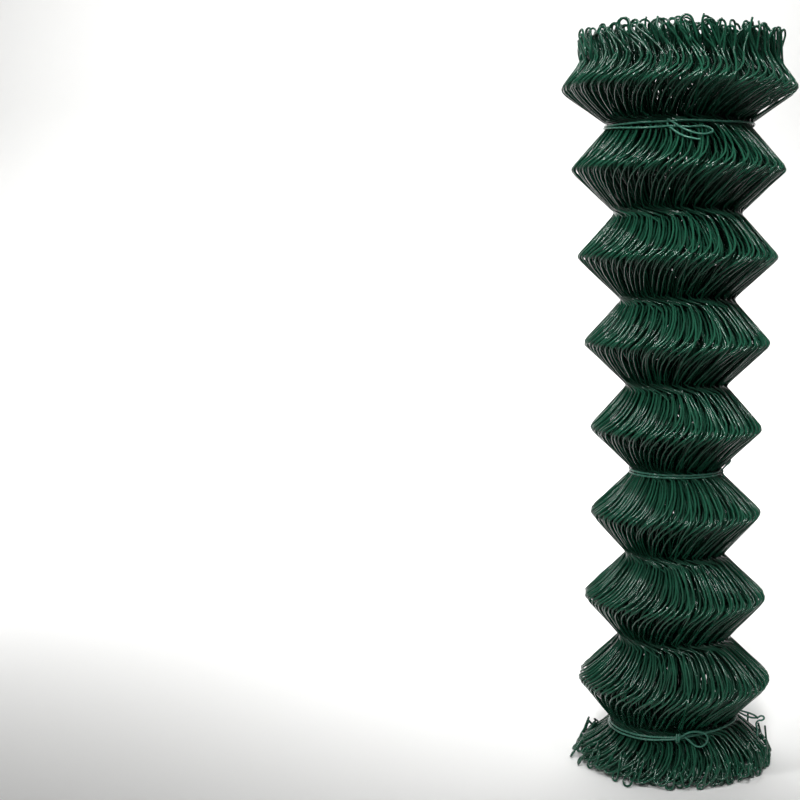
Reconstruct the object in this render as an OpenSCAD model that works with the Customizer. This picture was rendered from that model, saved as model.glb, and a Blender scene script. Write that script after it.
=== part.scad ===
// Compact roll of chain-link fencing, standing on end and held by three tie wires.
// The zigzag wires of the mesh nest side by side all round the roll, so it is pleated
// like a bellows: a waist at every inner bend and a bulge at every outer bend.

/* [Fence] */
// Height of the standing roll, from the floor to the top selvage
fence_height = 800; // [700:10:1500]
// Number of bulges above the lowest waist
bulges = 8; // [6:1:14]
// Radial depth of a pleat, from its waists to the bulge between them
pleat_depth = 42; // [25:1:50]
// Radius of the outer bends, at the bulges
bulge_round = 5; // [3:0.5:8]
// Radius of the inner bends, at the waists
waist_round = 4; // [3:0.5:8]

/* [Waists] */
// Diameter of the lowest waist, under the bottom tie
bottom_waist_d = 138; // [110:1:160]
// Diameter of the tightest waist, under the middle tie
middle_waist_d = 99; // [85:1:130]
// Diameter of the highest waist, under the top tie
top_waist_d = 156; // [120:1:180]
// Which waist the middle tie is on, counted from the lowest as 0
middle_waist = 3; // [1:1:4]

/* [Ends] */
// Height of the lowest waist above the floor
foot_h = 45; // [32:1:60]
// Diameter over the splayed bottom selvage
foot_d = 220; // [190:1:250]
// Radius of the bottom selvage, where its loops turn under
foot_round = 7; // [4:0.5:10]
// Diameter of the top bulge
crown_d = 255; // [240:1:290]
// Height of the top selvage above the top bulge
head_h = 61; // [45:1:80]
// How far the top bulge sags below the even spacing of the pleats
crown_sag = 8; // [0:1:14]
// Diameter of the neck between the top bulge and the top selvage
neck_d = 217; // [200:1:240]
// Radius of the bend at the neck
neck_round = 10; // [4:1:16]
// Diameter over the loops of the top selvage
mouth_d = 222; // [205:1:245]
// Radius of the top selvage, where its loops turn over
mouth_round = 7; // [4:0.5:10]

/* [Turns] */
// Diameter of the hole left by the winding bar
bore_d = 32; // [20:1:44]
// Number of turns that the mesh is wound in
turns = 6; // [4:1:8]
// Width of the gap between turns at the ends
turn_gap = 4.5; // [2:0.5:7]
// Depth to which the gap shows at the ends
turn_gap_depth = 10; // [4:1:14]

/* [Tie wires] */
// Diameter of the tie wire
tie_wire_d = 2; // [1.4:0.1:2.6]
// Clearance between a tie and the mesh it lies on
tie_clearance = 0.2; // [0.1:0.05:0.4]
// Width of the loops of spare wire
loop_w = 8; // [6:0.5:12]
// Length of the loop at the top tie
top_loop_l = 40; // [20:1:60]
// Length of the loop at the middle tie
middle_loop_l = 14; // [10:1:24]
// Length of the loop at the bottom tie
bottom_loop_l = 27; // [16:1:40]
// Length of the hairpin that stands out of the bottom tie
hairpin_l = 30; // [20:1:36]

/* [Hidden] */
$fn = 96;
coating_green = [0.03, 0.29, 0.19];
tie_green = [0.10, 0.36, 0.26];
// The front of the roll faces -Y, and angles round it grow to the right
front = -90;
right = 0;
bend_steps = 6;
turn_steps = 20;
loop_steps = 28;
tube_sides = 8;

bore_r = bore_d / 2;
top_waist = bulges - 1;
// Height of one leg of the zigzag, from a waist to the next bulge
leg_h = (fence_height - foot_h - head_h + crown_sag) / (2 * bulges - 1);
foot_flat_r = foot_d / 2 - foot_round;
mouth_flat_r = mouth_d / 2 - mouth_round;

// The strands of a tie lie on each other and stand off the bottom of their waist
strand_pitch = tie_wire_d + tie_clearance / 2;
seat_reach = waist_round - tie_wire_d / 2 - tie_clearance;
strand_stand_off = waist_round - sqrt(pow(seat_reach, 2) - pow(strand_pitch / 2, 2));
knot_r = min(1.6 * tie_wire_d, waist_round - tie_clearance);
knot_stand_off = knot_r + tie_clearance;

function unit(v) = v / norm(v);
function mix(a, b, t) = a + (b - a) * t;

// Waists and bulges are counted from the floor; waists run straight from tie to tie
function waist_z(i) = foot_h + 2 * i * leg_h;
function waist_r(i) = waist_d(i) / 2;
function waist_d(i) =
    i <= middle_waist
        ? mix(bottom_waist_d, middle_waist_d, i / middle_waist)
        : mix(middle_waist_d, top_waist_d, (i - middle_waist) / (top_waist - middle_waist));
function bulge_z(i) = i == top_waist ? fence_height - head_h : waist_z(i) + leg_h;
function bulge_r(i) =
    i == top_waist ? crown_d / 2 : (waist_r(i) + waist_r(i + 1)) / 2 + pleat_depth;

// Bends of half the roll's section going up, each as [centre radius, centre height, bend radius];
// a bend that turns inward, such as a waist, has a negative radius
bends = concat(
    [
        [bore_r, 0, 0],
        [foot_flat_r, foot_round, foot_round]
    ],
    [for (i = [0:top_waist]) each [
        [waist_r(i) + waist_round, waist_z(i), -waist_round],
        [bulge_r(i) - bulge_round, bulge_z(i), bulge_round]
    ]],
    [
        [neck_d / 2 + neck_round, fence_height - head_h / 2, -neck_round],
        [mouth_flat_r, fence_height - mouth_round, mouth_round],
        [bore_r, fence_height, 0]
    ]
);
function bend_centre(b) = [bends[b][0], bends[b][1]];
// Direction in which the straight flank between bends b and b + 1 faces
function flank_facing(b) =
    let (run = bend_centre(b + 1) - bend_centre(b))
    atan2(run.y, run.x) - acos((bends[b][2] - bends[b + 1][2]) / norm(run));
// Points of the arc of bend b, from the flank under it to the flank over it
function bend_arc(b) = [
    for (s = [0:bend_steps])
        let (a = mix(flank_facing(b - 1), flank_facing(b), s / bend_steps))
        bend_centre(b) + bends[b][2] * [cos(a), sin(a)]
];
section = concat(
    [bend_centre(0)],
    [for (b = [1:len(bends) - 2]) each bend_arc(b)],
    [bend_centre(len(bends) - 1)]
);

// How far the flanks of waist i go out for each unit of height
function waist_slope(i) = tan(max(abs(flank_facing(2 * i + 1)), abs(flank_facing(2 * i + 2))));

// The spiral gap between turns, as it shows on an end that is flat out to flat_r
module turn_gap_spiral(flat_r) {
    pitch = (flat_r - bore_r) / turns;
    steps = turn_steps * (turns - 2);
    function ray(s) = [cos(s * 360 / turn_steps), sin(s * 360 / turn_steps)];
    function mid_r(s) = bore_r + pitch * (1 + s / turn_steps);
    polygon(concat(
        [for (s = [0:steps]) (mid_r(s) - turn_gap / 2) * ray(s)],
        [for (s = [steps:-1:0]) (mid_r(s) + turn_gap / 2) * ray(s)]
    ));
}

module fence_roll() {
    color(coating_green)
    difference() {
        rotate_extrude() polygon(section);
        translate([0, 0, -turn_gap_depth])
            linear_extrude(2 * turn_gap_depth) turn_gap_spiral(foot_flat_r);
        translate([0, 0, fence_height - turn_gap_depth])
            linear_extrude(2 * turn_gap_depth) turn_gap_spiral(mouth_flat_r);
    }
}

// A tube of tie wire along a path that keeps near the plane with this normal
module wire_tube(path, normal) {
    last = len(path) - 1;
    function along(i) = unit(path[min(i + 1, last)] - path[max(i - 1, 0)]);
    function ring(i) =
        let (t = along(i), n = unit(normal - (normal * t) * t), b = cross(t, n))
        [for (s = [0:tube_sides - 1])
            let (a = s * 360 / tube_sides)
            path[i] + tie_wire_d / 2 * (cos(a) * n + sin(a) * b)];
    function corner(i, s) = i * tube_sides + s % tube_sides;
    polyhedron(
        points = [for (i = [0:last]) each ring(i)],
        faces = concat(
            [[for (s = [0:tube_sides - 1]) corner(0, s)]],
            [for (i = [0:last - 1], s = [0:tube_sides - 1]) each [
                [corner(i, s), corner(i + 1, s), corner(i + 1, s + 1)],
                [corner(i, s), corner(i + 1, s + 1), corner(i, s + 1)]
            ]],
            [[for (s = [tube_sides - 1:-1:0]) corner(last, s)]]
        )
    );
}

// A loop of spare wire on the tie of waist i: it leaves the knot at an angle, runs round the roll
// for reach, stands out by lift and drops by drop at its far end, clear of the flanks
module tie_loop(i, angle, reach, lift, drop) {
    root = 8;
    ring_r = waist_r(i) + strand_stand_off;
    function phase(s) = root + (360 - 2 * root) * s / loop_steps;
    function out(s) = (1 - cos(phase(s))) / 2;
    function rise(s) = loop_w / 2 * sin(phase(s)) - drop * out(s);
    function radius(s) = ring_r + lift * out(s) + waist_slope(i) * abs(rise(s));
    function bearing(s) = angle + reach * out(s) / ring_r * 180 / PI;
    function point(s) = [radius(s) * cos(bearing(s)), radius(s) * sin(bearing(s)), rise(s)];
    heading = point(loop_steps / 2) - point(0);
    wire_tube([for (s = [0:loop_steps]) point(s)], unit(cross(heading, [0, 0, 1])));
}

// Two strands round waist i and the knots that hold them together
module tie_strands(i, knot_angles) {
    for (side = [-1, 1])
        translate([0, 0, side * strand_pitch / 2])
            rotate_extrude()
                translate([waist_r(i) + strand_stand_off, 0])
                    circle(d = tie_wire_d);
    for (angle = knot_angles)
        rotate(angle)
            translate([waist_r(i) + knot_stand_off, 0, 0])
                rotate([90, 0, 0])
                    cylinder(r = knot_r, h = 2 * tie_wire_d, center = true);
}

module tie_top() {
    knot = front - 4;
    color(tie_green)
    translate([0, 0, waist_z(top_waist)]) {
        tie_strands(top_waist, [knot]);
        tie_loop(top_waist, knot, top_loop_l, 3, 6);
    }
}

module tie_middle() {
    knot = right - 8;
    color(tie_green)
    translate([0, 0, waist_z(middle_waist)]) {
        tie_strands(middle_waist, [knot]);
        tie_loop(middle_waist, knot, middle_loop_l, 8, -6);
    }
}

module tie_bottom() {
    knot = front + 3;
    hairpin_knot = right - 12;
    color(tie_green)
    translate([0, 0, waist_z(0)]) {
        tie_strands(0, [knot, hairpin_knot]);
        tie_loop(0, knot, bottom_loop_l, 3, 3);
        tie_loop(0, hairpin_knot, hairpin_l / 3, 0.8 * hairpin_l, -4);
    }
}

fence_roll();
tie_top();
tie_middle();
tie_bottom();
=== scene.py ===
import math

import bpy
import numpy as np
from mathutils import Matrix


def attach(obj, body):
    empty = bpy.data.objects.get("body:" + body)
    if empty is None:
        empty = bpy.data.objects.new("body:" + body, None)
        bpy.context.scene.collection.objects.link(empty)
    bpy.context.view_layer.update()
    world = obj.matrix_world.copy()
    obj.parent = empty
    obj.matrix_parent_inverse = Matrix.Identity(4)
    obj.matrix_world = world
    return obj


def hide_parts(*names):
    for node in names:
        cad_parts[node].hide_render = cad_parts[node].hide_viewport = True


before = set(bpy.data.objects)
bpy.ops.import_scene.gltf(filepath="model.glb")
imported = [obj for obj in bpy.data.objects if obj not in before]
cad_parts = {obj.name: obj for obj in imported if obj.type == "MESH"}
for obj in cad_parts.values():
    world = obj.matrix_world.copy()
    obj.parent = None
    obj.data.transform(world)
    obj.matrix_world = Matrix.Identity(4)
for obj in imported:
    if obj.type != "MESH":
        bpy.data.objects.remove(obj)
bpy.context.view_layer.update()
bpy.ops.object.select_all(action="DESELECT")

mm = 0.001
rng = np.random.default_rng(11)

# The wires of the mesh, with more rings and sides on the outer turn, which is seen from near,
# and more wires in the inner turns, which close the view through the roll
wire_r = 1.25 * mm
turns = 6
outer_wires, inner_density = 80, 1.4
wire_sides, inner_wire_sides = 6, 5
leg_rings, inner_leg_rings = 9, 6
hook_rings, tail_rings = 7, 3

# Where the outer turn starts, at the back, and how far apart the turns start, both in radians,
# and the share of a turn after which it dives under the next one
first_angle, turn_shift, dive_from = math.radians(75), 0.7, 0.86
# Inner turns are pressed a little flatter than the outer one, and the outer ones lie closer together
turn_flattening, turn_crowding = 0.025, 1.2

# How far a wire of the outer turn swings round the roll, the share of that in the inner turns, and the
# swing at shares of the way from a waist to the next one below
swing, inner_swing = 17 * mm, 0.65
swing_line = (
    (0.0, -0.15), (0.04, 0.8), (0.1, 1.06), (0.2, 1.2), (0.33, 1.1), (0.42, 0.86),
    (0.485, 0.48), (0.55, 0.09), (0.64, -0.33), (0.765, -0.72), (0.88, -1.0), (0.95, -1.16),
)
# How much the wires differ in swing, as a share of it, and in its place along the wire, in radians
swing_spread, lag_spread = 0.09, 0.07
# Over the crown the wires stand straight, then lean back by this share of the swing, some more than
# others, over this many legs
head_straight, head_lean, head_stray, head_legs = 0.2, 1.05, 0.4, 1.2
# Under the lowest waist they lean back by this share of the swing
foot_lean = 1.4
# Share of the wires that hang straighter than their neighbours, and the share of the swing they keep
slack_share, slack_swing = 0.12, (0.2, 0.7)
# Neighbours are linked in pairs, so they come together by this share of their distance
link_pull = 0.03
# Slow wander of the mesh: waves round the roll, height of one wave, and how far it goes
wander = ((2, 0.31, 3 * mm), (3, 0.17, 2.4 * mm), (5, 0.11, 2 * mm), (9, 0.23, 1.6 * mm))
# How far bends slip sideways, up or down, and inwards
bend_side_slip, bend_height_slip, bend_sink = 0.8 * mm, 1.2 * mm, 1.0 * mm
# How much higher the lowest waist is at the right than on the axis
foot_tilt = 4.5 * mm

# Tone of the coating on the outer wires, from deep to fresh, which differs at random, and the share of it
# kept on each turn further in, which darkens the inner turns as painted shade
outer_tone, inner_turn_shade = (0.4, 1.0), 0.4
# The coating is rubbed and paler on the bulges, more narrowly the higher this power, and at the hooks; the
# paleness is partly a painted highlight
bulge_rub_and_highlight_power, hook_rub_and_highlight = 6, 0.4

# Hooks at the ends of the wires: radius, how much short of the end, length of the tail, bend in radians,
# and the share that turns to the usual side
head_hook_r, head_short, head_tail = (4.0 * mm, 7.0 * mm), (3 * mm, 11 * mm), (12 * mm, 34 * mm)
foot_hook_r, foot_short, foot_tail = (3.4 * mm, 5.4 * mm), 6 * mm, (9 * mm, 26 * mm)
head_bend, foot_bend = (2.5, 3.2), (2.8, 3.4)
head_side_share, foot_side_share = 0.7, 0.65
# How far a hook lies over its own wire, the share that lies outside it, and how much the tails stray,
# in radians
hook_overlap, outside_share, tail_stray = 2.6 * mm, 0.75, 0.12
# How far the hooks are turned out of the mesh, in radians, as middle and spread, and the share of hooks
# that stand highest
head_twist, foot_twist, high_share = (-0.45, 0.3), (-0.15, 0.25), 0.15
# Share of the wires whose upper end is hardly bent, and its radius, bend and tail
spike_share, spike_r, spike_bend, spike_tail = 0.07, 24 * mm, 0.3, 2 * mm

# Columns of a turn's texture map: the share left free at each side of a wire, and the size of a cut face
column_margin, cut_face = 0.06, 0.4

# The tie wire, and the ripple of its strands: millimetres up, radians of it along a strand,
# and the share of it that goes outwards
tie_r = 1.05 * mm
ripple, ripples, ripple_out = 0.35, 7.3, 0.15

# The backdrop behind the roll
floor_side, wall_y, wall_h, sweep_r = 8, 2.2, 4.0, 1.0
# The soft boxes that light the roll are aimed at its upper part through a fine grid
key_aim, key_spread = (0, 0, 0.7), 17
strip_size, side_size = (0.5, 0.9), (0.8, 0.8)

# The photograph's view, with the turns of the camera in degrees
camera_place, camera_down, camera_left = (0, -1.4667, 0.5526), 5.862, 5.439


def node_places(node):
    """Radius, angle and height of every vertex of a CAD node."""
    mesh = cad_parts[node].data
    xyz = np.empty(3 * len(mesh.vertices))
    mesh.vertices.foreach_get("co", xyz)
    x, y, z = xyz.reshape(-1, 3).T
    return np.hypot(x, y), np.arctan2(y, x), z


def roll_outline():
    """Outer radius of the roll's solid at each height that it has a ring of vertices."""
    radius, _, z = node_places("fence_roll")
    level = np.round(z / mm, 2)
    heights = np.unique(level)
    widest = np.array([radius[level == h].max() for h in heights])
    between = widest.copy()
    for i in range(1, len(heights) - 1):
        share = (heights[i] - heights[i - 1]) / (heights[i + 1] - heights[i - 1])
        between[i] = widest[i - 1] + share * (widest[i + 1] - widest[i - 1])
    # Levels that have vertices only inside the roll are left out
    outside = widest > 0.9 * between
    return heights[outside] * mm, widest[outside]


def turning_points(heights, radii, sign, reach=15 * mm):
    """Height and radius of each place where the outline is widest (sign 1) or tightest (sign -1)."""
    found = []
    for z, r in zip(heights, radii):
        near = np.abs(heights - z) < reach
        if sign * r >= (sign * radii[near]).max() - 1e-7:
            if found and z - found[-1][0] < reach:
                found[-1] = ((found[-1][0] + z) / 2, r)
            else:
                found.append((z, r))
    return found


heights, radii = roll_outline()
foot, *bulges, _ = turning_points(heights, radii, 1)
crown = bulges[-1]
waists = [place for place in turning_points(heights, radii, -1) if foot[0] < place[0] < crown[0]]
bore_r = node_places("fence_roll")[0].min()
top_z = heights[-1]
leg_h = (waists[-1][0] - waists[0][0]) / (2 * len(waists) - 2)

# Bends of a wire going up, from one leg under the lowest waist to one leg over the crown
bend_heights = [waists[0][0] - leg_h]
for waist, bulge in zip(waists, bulges):
    bend_heights += [waist[0], bulge[0]]
bend_heights = np.array([*bend_heights, crown[0] + leg_h])
bend_phases = np.pi * np.arange(len(bend_heights) - 1, -1, -1)

# How far the middle of a wire keeps from the floor and from the outline
foot_tip, outline_gap = 1.1 * wire_r, 1.15 * wire_r
# The line that the outer turn follows, which goes straight down under the widest part of the foot,
# and the line of the waists, which the inner turns fill down to the bore
above_foot = heights >= foot[0]
path_z = heights[above_foot]
path_r = radii[above_foot] - outline_gap
core_z = np.array([0.0, *(z for z, r in waists), top_z])
core_r = np.array([waists[0][1], *(r for z, r in waists), waists[-1][1]]) - wire_r


def smooth(t):
    return t * t * (3 - 2 * t)


def along_legs(at_bends, rings, gentle=False):
    """Values at the bends of each wire, carried on to rings places on each leg, closer near its bends."""
    share = (1 - np.cos(np.pi * np.arange(rings) / rings)) / 2
    if gentle:
        share = smooth(share)
    legs = at_bends[:, :-1, None] + (at_bends[:, 1:] - at_bends[:, :-1])[:, :, None] * share
    return np.concatenate([legs.reshape(len(at_bends), -1), at_bends[:, -1:]], axis=1)


def swung(phase):
    """Swing of a wire as a smooth line through the places of swing_line, over and over."""
    place, value = np.array(swing_line).T
    place = np.concatenate([place[-2:] - 1, place, place[:2] + 1])
    value = np.concatenate([value[-2:], value, value[:2]])
    slope = np.gradient(value, place)
    p = phase / (2 * np.pi) % 1
    i = np.searchsorted(place, p, side="right") - 1
    gap = place[i + 1] - place[i]
    t = (p - place[i]) / gap
    bend = gap * (slope[i] * t * (1 - t) ** 2 - slope[i + 1] * t**2 * (1 - t))
    return value[i] + (value[i + 1] - value[i]) * smooth(t) + bend


def drift(angle, z):
    """The slow wander of the mesh round the roll, alike for neighbours."""
    total = np.zeros_like(z)
    starts = rng.uniform(0, 6.28, len(wander))
    for (waves, height, size), start in zip(wander, starts):
        total += size * np.sin(waves * angle + z / height * 2 * np.pi + start)
    return total


def unit(v):
    return v / np.linalg.norm(v, axis=-1, keepdims=True)


def along(v, way):
    return (v * way).sum(axis=-1, keepdims=True)


def hooks(ends, before, home, side, size, bend, tail, twist):
    """Bent ends of the wires: an arc that goes on from the leg to one side, then a straight tail.

    The bend is counted from home, the way that an upright wire would end.
    """
    way = unit(ends - before)
    away = ends * (1, 1, 0)
    around = np.stack([-ends[:, 1], ends[:, 0], np.zeros(len(ends))], axis=1)
    across = unit(around - along(around, way) * way) * side[:, None]
    off = unit(away - along(away, way) * way)
    across = np.cos(twist)[:, None] * across + np.sin(twist)[:, None] * off
    bend = bend + np.arctan2(along(across, home), along(way, home))[:, 0]

    arc_share = np.arange(1, hook_rings + 1) / hook_rings
    tail_share = np.arange(1, tail_rings + 1) / tail_rings
    a = bend[:, None] * arc_share
    arc = (1 - np.cos(a))[:, :, None] * across[:, None] + np.sin(a)[:, :, None] * way[:, None]
    arc *= size[:, None, None]
    lean = bend + rng.normal(0, tail_stray, len(ends))
    tail_way = np.sin(lean)[:, None] * across + np.cos(lean)[:, None] * way
    back = arc[:, -1:] + (tail[:, None] * tail_share)[:, :, None] * tail_way[:, None]
    outside = np.where(rng.random(len(ends)) < outside_share, 1, -1)
    lift = np.concatenate([arc_share, np.ones(tail_rings)]) * (hook_overlap * outside)[:, None]
    return ends[:, None] + np.concatenate([arc, back], axis=1) + lift[:, :, None] * off[:, None]


def turn_paths(turn, count, rings):
    """Centre lines of the wires of one turn, from foot to head, and how much each place is rubbed and paler,
    partly as a painted highlight.
    """
    n = np.arange(count)
    share = n / count
    angle0 = first_angle - turn_shift * turn + 2 * np.pi * share
    depth = turn + smooth(np.clip((share - dive_from) / (1 - dive_from), 0, 1))

    spike = rng.random(count) < spike_share
    head_side = np.where(rng.random(count) < head_side_share, 1.0, -1.0)
    head_size = rng.uniform(*head_hook_r, count)
    foot_size = rng.uniform(*foot_hook_r, count)
    stands_high = rng.random(count) < high_share
    high_drop = head_short[0] * rng.random(count)
    head_drop = np.where(stands_high, high_drop, rng.uniform(*head_short, count))
    head_rise = np.where(spike, spike_r * spike_bend, head_size) + wire_r
    bend_z = bend_heights + rng.normal(0, bend_height_slip, (count, len(bend_heights)))
    bend_z[:, -1] = top_z - head_rise - head_drop
    bend_z[:, 0] = foot_tip + foot_size + foot_short * rng.random(count) ** 2

    # How far from the axis
    z = along_legs(bend_z, rings)
    near_foot = smooth(np.clip(1 - np.abs(z - waists[0][0]) / waists[0][0], 0, 1))
    level = z - foot_tilt * np.cos(angle0)[:, None] * near_foot
    phase = np.interp(level, bend_heights, bend_phases)
    core = np.interp(level, core_z, core_r)
    pleat = np.interp(level, path_z, path_r) - core
    sink = np.abs(rng.normal(0, bend_sink, bend_z.shape))
    r = bore_r + wire_r + (core - bore_r - wire_r) * (1 - (depth[:, None] / turns) ** turn_crowding)
    r += pleat * (1 - turn_flattening * depth[:, None]) - along_legs(sink, rings, gentle=True)

    # How far round the roll
    strength = swing * rng.normal(1, swing_spread, count)
    strength *= np.where(rng.random(count) < slack_share, rng.uniform(*slack_swing, count), 1)
    if turn > 0:
        strength *= inner_swing
    lag = rng.normal(0, lag_spread, count)[:, None]
    wave = swung(np.maximum(phase, 2 * np.pi * head_straight) - lag)
    lean = rng.normal(head_lean, head_stray, count)[:, None]
    wave -= lean * np.clip((z - crown[0]) / leg_h, 0, head_legs) ** 2
    wave -= foot_lean * np.clip((waists[0][0] - z) / leg_h, 0, 1) ** 2
    around = strength[:, None] * wave + drift(angle0[:, None], z)
    around += along_legs(rng.normal(0, bend_side_slip, bend_z.shape), rings, gentle=True)
    pair = np.where(n % 2 == 0, 1, -1)[:, None] * np.cos(phase)
    angle = angle0[:, None] + around / r.mean(axis=1, keepdims=True) + link_pull * 2 * np.pi / count * pair
    legs = np.stack([r * np.cos(angle), r * np.sin(angle), z], axis=2)

    head = hooks(
        legs[:, -1], legs[:, -3], (0, 0, 1), head_side,
        np.where(spike, spike_r, head_size),
        np.where(spike, spike_bend, rng.uniform(*head_bend, count)),
        np.where(spike, spike_tail, rng.uniform(*head_tail, count)),
        rng.normal(*head_twist, count),
    )
    foot_side = np.where(rng.random(count) < foot_side_share, -1.0, 1.0)
    base = hooks(
        legs[:, 0], legs[:, 2], (0, 0, -1), foot_side,
        foot_size,
        rng.uniform(*foot_bend, count),
        rng.uniform(*foot_tail, count),
        rng.normal(*foot_twist, count),
    )
    # No hook goes under the floor or over the top
    too_low = np.maximum(foot_tip - base[:, :, 2].min(axis=1, keepdims=True), 0)
    base[:, :, 2] += too_low
    legs[:, :rings, 2] += too_low * smooth(np.linspace(1, 0, rings))
    too_high = np.maximum(head[:, :, 2].max(axis=1, keepdims=True) - (top_z - wire_r), 0)
    head[:, :, 2] -= too_high
    legs[:, -rings:, 2] -= too_high * smooth(np.linspace(0, 1, rings))

    # Rubbed and paler on the bulges and at the hooks, partly as a painted highlight
    bulge_rub_and_highlight = np.clip(-np.cos(phase), 0, 1) ** bulge_rub_and_highlight_power
    ends_rub_and_highlight = np.full(head.shape[:2], hook_rub_and_highlight)
    rubbed_and_highlit = np.concatenate([ends_rub_and_highlight, bulge_rub_and_highlight, ends_rub_and_highlight], axis=1)
    return np.concatenate([base[:, ::-1], legs, head], axis=1), rubbed_and_highlit


def tubes(paths, sides):
    """Round wire along each path, as vertices[wire, ring, side]."""
    way = np.empty_like(paths)
    way[:, 1:-1] = paths[:, 2:] - paths[:, :-2]
    way[:, 0] = paths[:, 1] - paths[:, 0]
    way[:, -1] = paths[:, -1] - paths[:, -2]
    way = unit(way)
    across = np.empty_like(paths)
    # Any direction will do to start with, if no wire starts along it
    askew = (0.3, 0.5, 0.8)
    across[:, 0] = unit(np.cross(way[:, 0], askew))
    for i in range(1, paths.shape[1]):
        last = across[:, i - 1]
        across[:, i] = unit(last - along(last, way[:, i]) * way[:, i])
    third = np.cross(way, across)
    a = np.arange(sides) * 2 * np.pi / sides
    ring = np.cos(a)[:, None] * across[:, :, None] + np.sin(a)[:, None] * third[:, :, None]
    return paths[:, :, None] + wire_r * ring


def wire_map(wires, rings, sides):
    """Texture map with a column for every wire, and its cut faces in the first and last rows."""
    w, i, s = np.meshgrid(np.arange(wires), np.arange(rings - 1), np.arange(sides), indexing="ij")
    width = 1 - 2 * column_margin
    side_u = [(w + column_margin + width * (s + d) / sides) / wires for d in (0, 1, 1, 0)]
    ring_v = [(i + 1 + d) / (rings + 1) for d in (0, 0, 1, 1)]
    walls = np.stack([np.stack(side_u, axis=3), np.stack(ring_v, axis=3)], axis=4)
    a = np.arange(sides) * 2 * np.pi / sides
    disc = cut_face * np.stack([np.cos(a) / wires, np.sin(a) / (rings + 1)], axis=1)
    column = (np.arange(wires) + 0.5) / wires
    first_row = np.stack([column, np.full(wires, 0.5 / (rings + 1))], axis=1)
    last_row = np.stack([column, np.full(wires, 1 - 0.5 / (rings + 1))], axis=1)
    cuts = np.concatenate([first_row[:, None] + disc[::-1], last_row[:, None] + disc])
    return np.concatenate([walls.reshape(-1, 2), cuts.reshape(-1, 2)])


def wire_mesh(name, paths, sides, tone_and_shade, rubbed_and_highlit):
    """One joined mesh of all the wires, with a flat cut face at both ends of each."""
    places = tubes(paths, sides)
    wires, rings = places.shape[:2]
    first = np.arange(wires * rings * sides).reshape(wires, rings, sides)
    after = np.roll(first, -1, axis=2)
    walls = np.stack([first[:, :-1], after[:, :-1], after[:, 1:], first[:, 1:]], axis=3)
    starts = first[:, 0, ::-1]
    ends = first[:, -1]
    corners = np.concatenate([walls.reshape(-1), starts.reshape(-1), ends.reshape(-1)])
    wall_count = wires * (rings - 1) * sides
    cut_count = 2 * wires
    is_cut = np.arange(wall_count + cut_count) >= wall_count
    wall_starts = np.arange(wall_count) * 4
    cut_starts = wall_count * 4 + np.arange(cut_count) * sides

    mesh = bpy.data.meshes.new(name)
    mesh.vertices.add(places.size // 3)
    mesh.vertices.foreach_set("co", places.ravel())
    mesh.loops.add(len(corners))
    mesh.loops.foreach_set("vertex_index", corners)
    mesh.polygons.add(wall_count + cut_count)
    mesh.polygons.foreach_set("loop_start", np.concatenate([wall_starts, cut_starts]))
    mesh.polygons.foreach_set("use_smooth", ~is_cut)
    mesh.update(calc_edges=True)
    mesh.validate()

    # The tone carries painted shade, darker on the inner turns
    shade = mesh.attributes.new("wire_tone_and_shade", "FLOAT", "POINT")
    shade.data.foreach_set("value", np.repeat(tone_and_shade, rings * sides))
    # How much each place is rubbed and paler, partly a painted highlight
    rub_and_highlight = mesh.attributes.new("rubbed_and_highlit", "FLOAT", "POINT")
    rub_and_highlight.data.foreach_set("value", np.repeat(rubbed_and_highlit.ravel(), sides))
    cut = mesh.attributes.new("cut_end", "FLOAT", "FACE")
    cut.data.foreach_set("value", is_cut.astype(float))
    bake_map = mesh.uv_layers.new(name="OFBake")
    bake_map.uv.foreach_set("vector", wire_map(wires, rings, sides).ravel())

    obj = bpy.data.objects.new(name, mesh)
    bpy.context.scene.collection.objects.link(obj)
    return obj


def wound_mesh():
    """The six turns of the roll, each one piece."""
    tight_r = min(r for z, r in waists) - wire_r
    pieces = []
    for turn in range(turns):
        inner = turn > 0
        turn_r = bore_r + (tight_r - bore_r) * (1 - (turn / turns) ** turn_crowding)
        count = 2 * round((inner_density if inner else 1) * outer_wires * turn_r / tight_r / 2)
        paths, rubbed_and_highlit = turn_paths(turn, count, inner_leg_rings if inner else leg_rings)
        sides = inner_wire_sides if inner else wire_sides
        # Each wire's tone differs at random, and the inner turns are darker as painted shade
        tone_and_shade = rng.uniform(*outer_tone, count) * inner_turn_shade**turn
        pieces.append(wire_mesh("mesh_turn_%d" % (turn + 1), paths, sides, tone_and_shade, rubbed_and_highlit))
    return pieces


def tie_seat(node):
    """Radius and height of the strands of a CAD tie."""
    radius, _, z = node_places(node)
    return radius.min() + tie_r, float(np.median(z))


def tie_curve(name, seat, *wires):
    """Round wires on a tie's seat, made a mesh.

    Their places are in degrees to the right of the front, millimetres out and millimetres up.
    """
    curve = bpy.data.curves.new(name, "CURVE")
    curve.dimensions = "3D"
    curve.bevel_depth = tie_r
    curve.bevel_resolution = 2
    curve.resolution_u = 5
    curve.use_fill_caps = True
    ring_r, z = seat
    for places in wires:
        spline = curve.splines.new("BEZIER")
        spline.bezier_points.add(len(places) - 1)
        for point, (degrees, out, up) in zip(spline.bezier_points, places):
            a = math.radians(degrees - 90)
            r = ring_r + out * mm
            point.co = (r * math.cos(a), r * math.sin(a), z + up * mm)
            point.handle_left_type = point.handle_right_type = "AUTO"
    obj = bpy.data.objects.new(name, curve)
    bpy.context.scene.collection.objects.link(obj)
    bpy.ops.object.select_all(action="DESELECT")
    obj.select_set(True)
    bpy.context.view_layer.objects.active = obj
    bpy.ops.object.convert(target="MESH")
    bpy.ops.object.shade_smooth()
    return obj


def strand(start, end, up_start, up_end, steps=22):
    """A strand round the waist, a little uneven, between two angles."""
    places = []
    for i in range(steps + 1):
        t = i / steps
        wobble = ripple * math.sin(ripples * t + start) * math.sin(math.pi * t)
        up = up_start + (up_end - up_start) * t + wobble
        places.append((start + (end - start) * t, ripple_out * abs(wobble), up))
    return places


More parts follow.
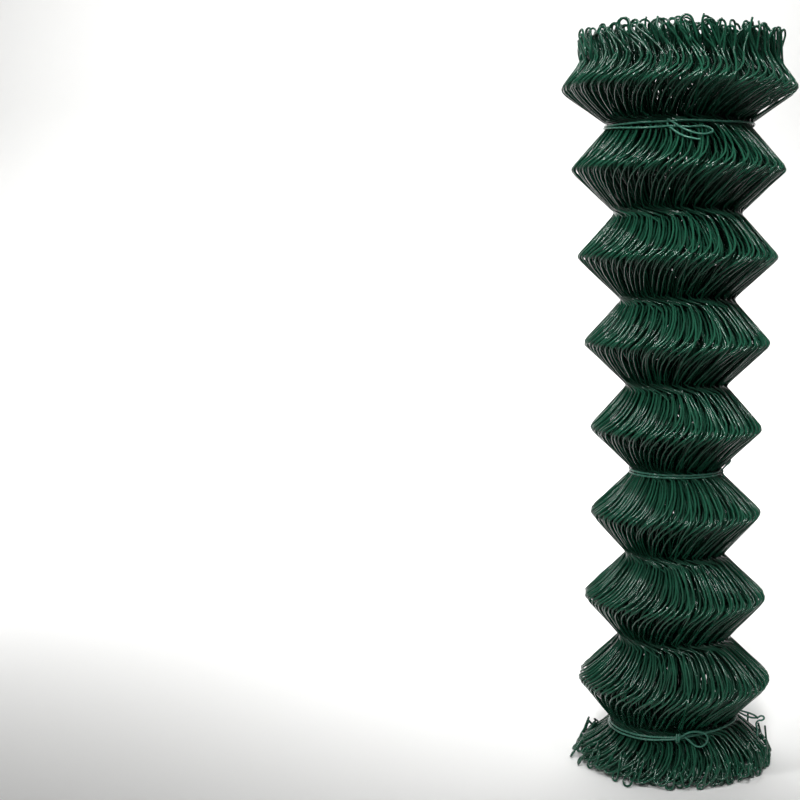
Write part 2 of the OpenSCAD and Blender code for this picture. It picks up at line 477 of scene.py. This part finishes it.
def top_tie():
    """The wire goes twice round, makes a loop in front and is tucked under its own strands."""
    start = [(-1, 0.2, -2.4), (9, 0.2, -2), (31, 0, -2.2), (56, 0, -0.8), (81, 0, 0.3)]
    across_front = [
        (276, 0.6, -0.6), (294, 1.8, -2.4), (318, 2.4, -3), (336, 2.5, -3), (354, 2.5, -2.8),
        (361, 2.6, -2), (369, 2.4, -1.8), (391, 2.2, -2.1), (416, 2.2, -0.8), (441, 2.1, 0.3),
    ]
    to_loop = [
        (636, 1.4, -2.8), (654, 3.4, -4.8), (668, 4.8, -6.2), (682, 6.2, -7.8), (697, 7.2, -9),
        (706, 7.2, -8.8), (714, 7, -8.2),
    ]
    loop = [
        (721, 7.4, -8.8), (728, 7.8, -9), (733, 7.6, -8.3), (738.5, 7.6, -8.6), (741.5, 9.4, -10.6),
        (742.5, 11.8, -13.4), (739, 14, -16), (734, 15, -17), (728, 14.2, -14.8), (723, 12, -11.4),
        (719, 9.4, -7.4), (716, 6.4, -4.4), (714, 5.4, -2.4),
    ]
    tuck = [(712.4, 3.8, -1.2), (711.8, 2, -2.2), (711.8, 1.8, -5), (713, 4.8, -8.2)]
    spare_end = [
        (716, 9.2, -11.4), (719, 13, -15.4), (724, 16.8, -19.6), (729, 18.6, -21.9), (732.5, 19.4, -22.8),
    ]
    first_round = start + strand(100, 262, 0.8, 0.8) + across_front
    second_round = strand(460, 620, -1.4, -1.4) + to_loop
    seat = tie_seat("tie_top")
    return tie_curve("tie_wire_top", seat, first_round + second_round + loop + tuck + spare_end)


def middle_tie():
    """The wire goes twice round and ends in a small eye at the right."""
    start = [(72, 5, -5.4), (77, 3, -3.2)]
    step_up = [(442, 1.6, -1), (446, 1, 0.2)]
    eye = [
        (804, 2.6, 3), (803, 5.4, 6.4), (805, 8, 9.6), (809, 9.6, 10.4), (813, 9.8, 9),
        (813.5, 8.4, 6.8), (809, 6.2, 5.8), (804, 4.6, 5.2),
    ]
    rounds = start + strand(83, 437, -2.4, -2.4) + step_up + strand(450, 800, 0.5, 0.5)
    return tie_curve("tie_wire_middle", tie_seat("tie_middle"), rounds + eye)


def bottom_tie():
    """The wire starts as a hairpin at the right, goes twice round, and is knotted and looped in front."""
    hairpin = [
        (74, 23.6, -24), (83, 23.6, -23), (90, 24.4, -19), (92, 24.6, -14), (93, 23.4, -9.6),
        (93, 26, -5.6), (93, 30, -5), (93, 32.4, -2.4), (93, 29.4, 0), (93, 25.4, -1.8),
        (93, 19.4, -2.4), (94, 10.7, 0), (95, 4.4, 2.8),
    ]
    across_front = [
        (91, 1.6, 4.2), (80, 1.4, 4.4), (62, 1.4, 4), (44, 1.2, 3.2), (26, 0.8, 2), (10, 0.8, 0.2),
        (4, 1, -0.5), (0, 1, -0.8), (-21, 2, -2.1), (-40, 2, -3), (-61, 1.6, -3.6), (-80, 1.2, -3.6),
    ]
    again_across_front = [
        (-252, 0.4, 4.2), (-275, 0.2, 5.2), (-300, 0.2, 4), (-324, 0.2, 2), (-345, 0.6, 0), (-356, 2, -2),
        (-362, 2.4, -2.8), (-380, 4.2, -4.6), (-398, 4.2, -5.6), (-419, 3.6, -6.2), (-440, 2.4, -6),
    ]
    to_knot = [(-625, -0.6, 3), (-650, -0.6, 3), (-680, -0.4, 1.8), (-700, 0, 0.6), (-712, 1.4, 0.8)]
    knot = [
        (-714.6, 3.4, 3.6), (-715, 5.4, 0.6), (-715, 5, -3.6), (-715.4, 2.6, -5), (-716.4, 2.6, 1),
        (-716.6, 4.2, 3.6), (-716.8, 5.6, 0), (-716.8, 5, -3.6), (-716, 3.2, -4.6), (-715, 3.4, -1),
    ]
    loop = [
        (-712, 4.4, 2), (-708, 6.4, 6), (-703, 7.2, 7.4), (-697, 6.4, 5.8), (-692, 6, 1.8), (-691, 7, -3),
        (-694, 8.8, -7.4), (-699, 9.8, -9), (-703, 8.4, -7), (-707, 5.8, -2.4), (-710, 3.8, 0.4),
    ]
    hairpin_leg = [
        (104, 1.4, 4.6), (98, 2.6, 5), (94, 8.4, 4.6), (93, 15.5, 3), (93, 21.5, 0.4), (92.5, 25.5, -2.8),
    ]
    first_round = hairpin + across_front + strand(-96, -240, -3.2, 3, 10)
    second_round = again_across_front + strand(-458, -600, -5, 1.4, 10) + to_knot
    seat = tie_seat("tie_bottom")
    return tie_curve("tie_wire_bottom", seat, first_round + second_round + knot + loop, hairpin_leg)


def add(tree, kind, **settings):
    """A node with settings; a setting named for an input socket sets that socket."""
    node = tree.nodes.new(kind)
    for key, value in settings.items():
        if hasattr(node, key):
            setattr(node, key, value)
        else:
            node.inputs[key.replace("_", " ")].default_value = value
    return node


def reckon(tree, operation, *terms):
    """A Math node whose terms are sockets to link or plain numbers."""
    node = add(tree, "ShaderNodeMath", operation=operation)
    for socket, term in zip(node.inputs, terms):
        if isinstance(term, bpy.types.NodeSocket):
            tree.links.new(term, socket)
        else:
            socket.default_value = term
    return node.outputs["Value"]


def ranged(tree, value, **limits):
    """A Map Range node on a value."""
    node = add(tree, "ShaderNodeMapRange", **limits)
    tree.links.new(value, node.inputs["Value"])
    return node.outputs["Result"]


def blended(tree, factor, under, over):
    """A colour that goes from under to over as the factor grows."""
    node = add(tree, "ShaderNodeMix", data_type="RGBA")
    for name, socket in (("Factor", factor), ("A", under), ("B", over)):
        tree.links.new(socket, node.inputs[name])
    return node.outputs["Result"]


def noise(tree, where, **settings):
    """Noise over the piece."""
    node = add(tree, "ShaderNodeTexNoise", **settings)
    tree.links.new(where.outputs["Object"], node.inputs["Vector"])
    return node.outputs["Fac"]


def coating_group():
    """Plastic coating: uneven colour from a tone that also carries painted shade, paler where rubbed, partly
    as a painted highlight, dull and shiny places, a film of dust on top, and fine grain.
    """
    tree = bpy.data.node_groups.new("plastic coating", "ShaderNodeTree")
    for name in ("Deep", "Fresh", "Dust"):
        tree.interface.new_socket(name, in_out="INPUT", socket_type="NodeSocketColor")
    for name in ("Tone and shade", "Rubbed and highlit", "Dustiness", "Dullness"):
        tree.interface.new_socket(name, in_out="INPUT", socket_type="NodeSocketFloat")
    tree.interface.new_socket("Color", in_out="OUTPUT", socket_type="NodeSocketColor")
    for name in ("Roughness", "Grain"):
        tree.interface.new_socket(name, in_out="OUTPUT", socket_type="NodeSocketFloat")
    given = add(tree, "NodeGroupInput").outputs
    result = add(tree, "NodeGroupOutput").inputs
    link = tree.links.new
    where = add(tree, "ShaderNodeTexCoord")

    patch_weight, rub_and_highlight_weight = 1.1, 0.35
    patches = noise(tree, where, Scale=38.0, Detail=3.0, Roughness=0.6)
    # The tone carries painted shade on the inner turns
    shade = reckon(tree, "MULTIPLY_ADD", patches, patch_weight, given["Tone and shade"])
    # Rubbed places are paler, partly as a painted highlight on the bulges
    paler_rubbed_and_highlit = reckon(tree, "MULTIPLY_ADD", given["Rubbed and highlit"], rub_and_highlight_weight, shade)
    spread = ranged(tree, paler_rubbed_and_highlit, From_Min=0.35, From_Max=1.45)
    coat = blended(tree, spread, given["Deep"], given["Fresh"])

    facing = add(tree, "ShaderNodeNewGeometry")
    height = add(tree, "ShaderNodeSeparateXYZ")
    link(facing.outputs["Normal"], height.inputs["Vector"])
    upward = ranged(tree, height.outputs["Z"], From_Min=0.25, From_Max=1.0)
    specks = noise(tree, where, Scale=420.0, Detail=4.0, Roughness=0.7)
    settled = ranged(tree, specks, From_Min=0.42, From_Max=0.72)
    film = reckon(tree, "MULTIPLY", upward, settled)
    dust = reckon(tree, "MULTIPLY", film, given["Dustiness"])
    link(blended(tree, dust, coat, given["Dust"]), result["Color"])

    dust_dulls, rubbing_dulls = 0.5, -0.05
    handled = noise(tree, where, Scale=160.0, Detail=2.0)
    uneven = ranged(tree, handled, From_Min=0.3, From_Max=0.7, To_Min=-0.05, To_Max=0.08)
    dull = reckon(tree, "ADD", uneven, given["Dullness"])
    dusted = reckon(tree, "MULTIPLY_ADD", dust, dust_dulls, dull)
    link(reckon(tree, "MULTIPLY_ADD", given["Rubbed and highlit"], rubbing_dulls, dusted), result["Roughness"])

    link(noise(tree, where, Scale=1400.0, Detail=2.0), result["Grain"])
    return tree


def coated_material(name, group, deep, fresh, dust, dustiness, dullness):
    """A coated wire's material with its coating node and its shader, whose colour is still to be linked."""
    material = bpy.data.materials.new(name)
    material.use_nodes = True
    tree = material.node_tree
    shader = tree.nodes["Principled BSDF"]
    coating = add(tree, "ShaderNodeGroup", node_tree=group)
    for socket, colour in (("Deep", deep), ("Fresh", fresh), ("Dust", dust)):
        coating.inputs[socket].default_value = (*colour, 1)
    coating.inputs["Dustiness"].default_value = dustiness
    coating.inputs["Dullness"].default_value = dullness
    shader.inputs["Specular IOR Level"].default_value = 0.45
    tree.links.new(coating.outputs["Roughness"], shader.inputs["Roughness"])
    bump = add(tree, "ShaderNodeBump", Strength=0.08, Distance=0.0002)
    tree.links.new(coating.outputs["Grain"], bump.inputs["Height"])
    tree.links.new(bump.outputs["Normal"], shader.inputs["Normal"])
    return material, coating, shader


def mesh_wire_material(group):
    """Dark coating with each wire's tone, darker on the inner turns as painted shade, and its rubbing, paler
    partly as a painted highlight, with bare steel where it is cut.
    """
    material, coating, shader = coated_material(
        "coated wire", group,
        deep=(0.0035, 0.0245, 0.014), fresh=(0.0095, 0.068, 0.0385), dust=(0.26, 0.33, 0.29),
        dustiness=0.07, dullness=0.13,
    )
    tree = material.node_tree
    link = tree.links.new
    for attribute, socket in (("wire_tone_and_shade", "Tone and shade"), ("rubbed_and_highlit", "Rubbed and highlit")):
        own = add(tree, "ShaderNodeAttribute", attribute_name=attribute)
        link(own.outputs["Fac"], coating.inputs[socket])
    cut = add(tree, "ShaderNodeAttribute", attribute_name="cut_end")
    steel = add(tree, "ShaderNodeMix", data_type="RGBA")
    steel.inputs["B"].default_value = (0.33, 0.34, 0.34, 1)
    link(cut.outputs["Fac"], steel.inputs["Factor"])
    link(coating.outputs["Color"], steel.inputs["A"])
    link(steel.outputs["Result"], shader.inputs["Base Color"])
    link(cut.outputs["Fac"], shader.inputs["Metallic"])
    return material


def tie_wire_material(group):
    """Paler coating, alike all along the wire."""
    material, coating, shader = coated_material(
        "tie wire", group,
        deep=(0.03, 0.13, 0.088), fresh=(0.06, 0.22, 0.155), dust=(0.42, 0.50, 0.45),
        dustiness=0.2, dullness=0.22,
    )
    coating.inputs["Tone and shade"].default_value = 0.5
    material.node_tree.links.new(coating.outputs["Color"], shader.inputs["Base Color"])
    return material


def lamp(name, place, aim, size, watts, spread):
    """A soft box; spread is the angle that its grid lets through."""
    data = bpy.data.lights.new(name, "AREA")
    data.shape = "RECTANGLE"
    data.size, data.size_y = size
    data.energy = watts
    data.spread = math.radians(spread)
    obj = bpy.data.objects.new(name, data)
    bpy.context.scene.collection.objects.link(obj)
    obj.location = place
    way = np.array(aim) - np.array(place)
    tilt = math.atan2(math.hypot(way[0], way[1]), -way[2])
    obj.rotation_euler = (tilt, 0, math.atan2(-way[0], way[1]))


def pick_back_edge(floor):
    """Select the edge of the floor that the wall stands on, in edit mode."""
    bpy.ops.object.mode_set(mode="EDIT")
    bpy.ops.mesh.select_all(action="DESELECT")
    bpy.ops.object.mode_set(mode="OBJECT")
    corners = floor.data.vertices
    for edge in floor.data.edges:
        ends = [corners[v] for v in edge.vertices]
        if all(abs(end.co.y - wall_y) + abs(end.co.z) < mm for end in ends):
            edge.select = True
            for end in ends:
                end.select = True
    bpy.ops.object.mode_set(mode="EDIT")


def backdrop():
    """A pale floor that sweeps up into a pale wall."""
    bpy.ops.object.select_all(action="DESELECT")
    bpy.ops.mesh.primitive_plane_add(size=floor_side, location=(0, 0, 0))
    floor = bpy.context.object
    floor.name = "floor"
    floor.data.transform(Matrix.Translation((0, wall_y - floor_side / 2, 0)))
    pick_back_edge(floor)
    bpy.ops.mesh.extrude_region_move(TRANSFORM_OT_translate={"value": (0, 0, wall_h)})
    pick_back_edge(floor)
    bpy.ops.mesh.bevel(offset=sweep_r, segments=12)
    bpy.ops.object.mode_set(mode="OBJECT")
    bpy.ops.object.shade_smooth()
    pale = bpy.data.materials.new("pale floor")
    pale.use_nodes = True
    shader = pale.node_tree.nodes["Principled BSDF"]
    shader.inputs["Base Color"].default_value = (0.86, 0.86, 0.85, 1)
    shader.inputs["Roughness"].default_value = 0.8
    floor.data.materials.append(pale)


def studio_light():
    """A tall strip of soft boxes in front, one at each side, one over the backdrop, and a faint white sky."""
    world = bpy.data.worlds.new("studio")
    bpy.context.scene.world = world
    world.use_nodes = True
    sky = world.node_tree.nodes["Background"]
    sky.inputs["Color"].default_value = (1, 1, 1, 1)
    sky.inputs["Strength"].default_value = 0.1

    lamp("front key low", (-0.28, -4.03, 3.54), key_aim, strip_size, 1.2, key_spread)
    lamp("front key middle", (-0.23, -3.34, 4.32), key_aim, strip_size, 1.1, key_spread)
    lamp("front key high", (-0.16, -2.34, 5.01), key_aim, strip_size, 1.1, key_spread)
    lamp("left key", (-2.95, -1.92, 3.66), key_aim, side_size, 1.6, key_spread)
    lamp("right key", (1.97, -2.52, 4.0), key_aim, side_size, 0.5, key_spread)
    lamp("backdrop", (-0.75, 1.2, 2.7), (-0.85, 1.7, 0.2), (2.8, 0.8), 48, 95)
    bpy.context.scene.view_settings.view_transform = "Standard"


def photo_camera():
    """The photograph's view: standing in front, eyes at two thirds of the roll's height."""
    data = bpy.data.cameras.new("camera")
    data.sensor_width = 36
    data.lens = 59.85
    data.shift_x = -0.1875
    camera = bpy.data.objects.new("camera", data)
    bpy.context.scene.collection.objects.link(camera)
    camera.location = camera_place
    camera.rotation_euler = (math.radians(90 - camera_down), 0, math.radians(camera_left))
    bpy.context.scene.camera = camera


coating = coating_group()

mesh_wire = mesh_wire_material(coating)
for piece in wound_mesh():
    piece.data.materials.append(mesh_wire)
    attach(piece, "root")
    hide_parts("fence_roll")

tie_wire = tie_wire_material(coating)
for node, piece in (("tie_top", top_tie()), ("tie_middle", middle_tie()), ("tie_bottom", bottom_tie())):
    piece.data.materials.append(tie_wire)
    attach(piece, "root")
    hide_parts(node)

backdrop()
studio_light()
photo_camera()
